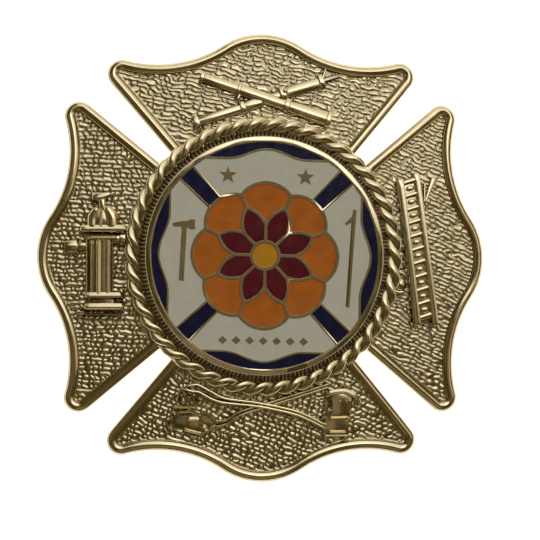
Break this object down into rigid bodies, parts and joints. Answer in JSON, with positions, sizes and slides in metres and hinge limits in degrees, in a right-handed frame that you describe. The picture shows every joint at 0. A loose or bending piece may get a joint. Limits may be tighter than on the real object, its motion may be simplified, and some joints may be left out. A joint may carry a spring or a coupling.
{
  "type": "insignia pin",
  "caption": "Domed metal cross badge with flared arms, raised fire-service figures, a rope ring round an enamelled seal, and a hidden bar pin that fastens it to cloth.",
  "frame": {"origin": "centre of the badge on the plane that it rests on", "axes": "+Z out of the badge's front, +Y to its top, +X to its right as seen from the front"},
  "size_m": [0.057, 0.057, 0.0078],
  "materials": {
    "struck_brass": "struck, pebbled and antiqued in the hollows, bright on the rim",
    "rope_brass": "bright twisted rope, dark between the strands",
    "polished_brass": "polished rim and lines, milled edge",
    "pin_brass": "satin",
    "blue_enamel": "gloss, ground level with the metal",
    "white_enamel": "gloss, ground level with the metal",
    "orange_enamel": "gloss, translucent over metal",
    "red_enamel": "gloss, translucent over metal",
    "amber_enamel": "gloss, translucent over metal"
  },
  "bodies": {
    "root": {"cross_plate": "struck_brass", "rope_ring": "rope_brass", "seal_disc": "polished_brass", "blue_crescent_1": "blue_enamel", "blue_crescent_2": "blue_enamel", "blue_crescent_3": "blue_enamel", "blue_crescent_4": "blue_enamel", "blue_bar_1": "blue_enamel", "blue_bar_2": "blue_enamel", "blue_bar_3": "blue_enamel", "blue_bar_4": "blue_enamel", "white_arm_1": "white_enamel", "white_arm_2": "white_enamel", "white_arm_3": "white_enamel", "white_arm_4": "white_enamel", "orange_petal_1": "orange_enamel", "orange_petal_2": "orange_enamel", "orange_petal_3": "orange_enamel", "orange_petal_4": "orange_enamel", "orange_petal_5": "orange_enamel", "orange_petal_6": "orange_enamel", "orange_petal_7": "orange_enamel", "orange_petal_8": "orange_enamel", "red_petal_1": "red_enamel", "red_petal_2": "red_enamel", "red_petal_3": "red_enamel", "red_petal_4": "red_enamel", "red_petal_5": "red_enamel", "red_petal_6": "red_enamel", "red_petal_7": "red_enamel", "red_petal_8": "red_enamel", "rosette_heart": "amber_enamel", "pin_back": "pin_brass"}
  },
  "joints": []
}
